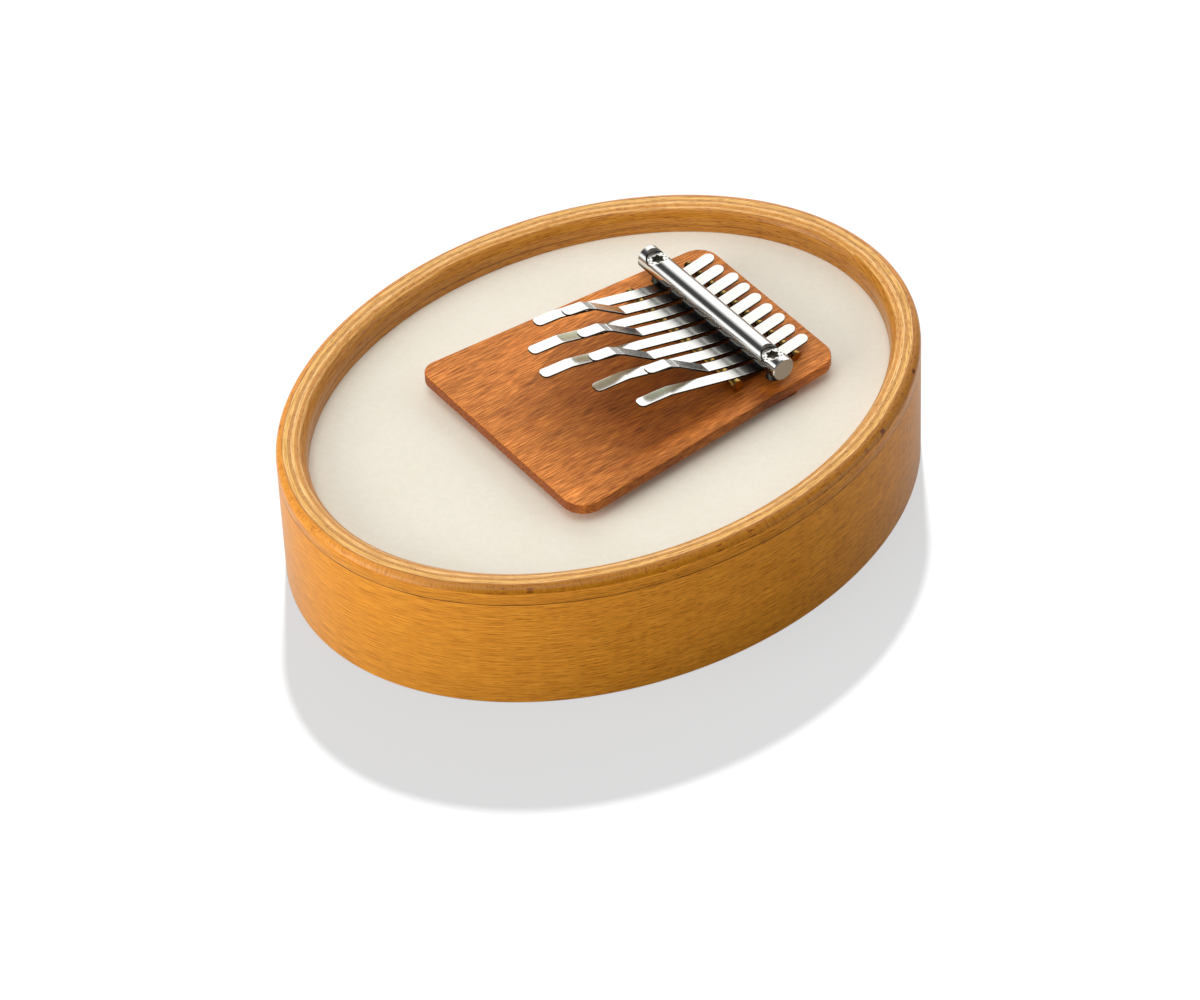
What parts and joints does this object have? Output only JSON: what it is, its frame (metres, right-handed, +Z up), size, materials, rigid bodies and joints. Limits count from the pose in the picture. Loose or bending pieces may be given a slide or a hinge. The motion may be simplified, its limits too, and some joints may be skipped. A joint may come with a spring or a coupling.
{
  "type": "frame drum kalimba",
  "caption": "Oval frame-drum kalimba: steel tines on brass bridges, held by a steel bar on a cherry board, over a drum skin in a beech plywood hoop.",
  "frame": {"origin": "middle of the oval frame's underside, on the surface that it rests on", "axes": "+X along the oval's long axis from the tines' tips towards their rear ends, +Y across the tines, +Z up out of the playing side"},
  "size_m": [0.27, 0.2094, 0.0822],
  "materials": {
    "beech_wall": "oiled",
    "beech_rim": "oiled",
    "skin": "matte",
    "cherry": "oiled",
    "cherry_spacer": "oiled",
    "bar_steel": "turned",
    "screw_steel": "satin",
    "zinc_nut": "zinc plated",
    "brass": "turned",
    "spring_steel": "polished"
  },
  "bodies": {
    "instrument": {"lower_ring": "beech_wall", "rim_ring": "beech_rim", "drum_skin": "skin", "sound_board": "cherry", "spacer_strip": "cherry_spacer", "backing_strip": "beech_wall", "clamp_bar": "bar_steel", "front_bridge": "brass", "rear_bridge": "brass", "clamp_screw_left": "screw_steel", "clamp_screw_right": "screw_steel", "clamp_nut_left": "zinc_nut", "clamp_nut_right": "zinc_nut"},
    "tine_1_body": {"tine_1": "spring_steel"},
    "tine_2_body": {"tine_2": "spring_steel"},
    "tine_3_body": {"tine_3": "spring_steel"},
    "tine_4_body": {"tine_4": "spring_steel"},
    "tine_5_body": {"tine_5": "spring_steel"},
    "tine_6_body": {"tine_6": "spring_steel"},
    "tine_7_body": {"tine_7": "spring_steel"},
    "tine_8_body": {"tine_8": "spring_steel"},
    "tine_9_body": {"tine_9": "spring_steel"}
  },
  "joints": [
    {"name": "tine_1_flex", "type": "hinge", "parent": "instrument", "child": "tine_1_body", "pos_m": [0.04, 0.03072, 0.0618], "axis": [0, -1, 0], "range_deg": [-2, 3], "stiffness_Nm_per_rad": 2.8, "deforming": ["tine_1"]},
    {"name": "tine_2_flex", "type": "hinge", "parent": "instrument", "child": "tine_2_body", "pos_m": [0.04, 0.02304, 0.0618], "axis": [0, -1, 0], "range_deg": [-2, 3], "stiffness_Nm_per_rad": 3.38, "deforming": ["tine_2"]},
    {"name": "tine_3_flex", "type": "hinge", "parent": "instrument", "child": "tine_3_body", "pos_m": [0.04, 0.01536, 0.0618], "axis": [0, -1, 0], "range_deg": [-2, 3], "stiffness_Nm_per_rad": 2.2, "deforming": ["tine_3"]},
    {"name": "tine_4_flex", "type": "hinge", "parent": "instrument", "child": "tine_4_body", "pos_m": [0.04, 0.00768, 0.0618], "axis": [0, -1, 0], "range_deg": [-2, 3], "stiffness_Nm_per_rad": 3.09, "deforming": ["tine_4"]},
    {"name": "tine_5_flex", "type": "hinge", "parent": "instrument", "child": "tine_5_body", "pos_m": [0.04, 0, 0.0618], "axis": [0, -1, 0], "range_deg": [-2, 3], "stiffness_Nm_per_rad": 2.01, "deforming": ["tine_5"]},
    {"name": "tine_6_flex", "type": "hinge", "parent": "instrument", "child": "tine_6_body", "pos_m": [0.04, -0.00768, 0.0618], "axis": [0, -1, 0], "range_deg": [-2, 3], "stiffness_Nm_per_rad": 2.74, "deforming": ["tine_6"]},
    {"name": "tine_7_flex", "type": "hinge", "parent": "instrument", "child": "tine_7_body", "pos_m": [0.04, -0.01536, 0.0618], "axis": [0, -1, 0], "range_deg": [-2, 3], "stiffness_Nm_per_rad": 2.52, "deforming": ["tine_7"]},
    {"name": "tine_8_flex", "type": "hinge", "parent": "instrument", "child": "tine_8_body", "pos_m": [0.04, -0.02304, 0.0618], "axis": [0, -1, 0], "range_deg": [-2, 3], "stiffness_Nm_per_rad": 3.92, "deforming": ["tine_8"]},
    {"name": "tine_9_flex", "type": "hinge", "parent": "instrument", "child": "tine_9_body", "pos_m": [0.04, -0.03072, 0.0618], "axis": [0, -1, 0], "range_deg": [-2, 3], "stiffness_Nm_per_rad": 3.05, "deforming": ["tine_9"]}
  ]
}
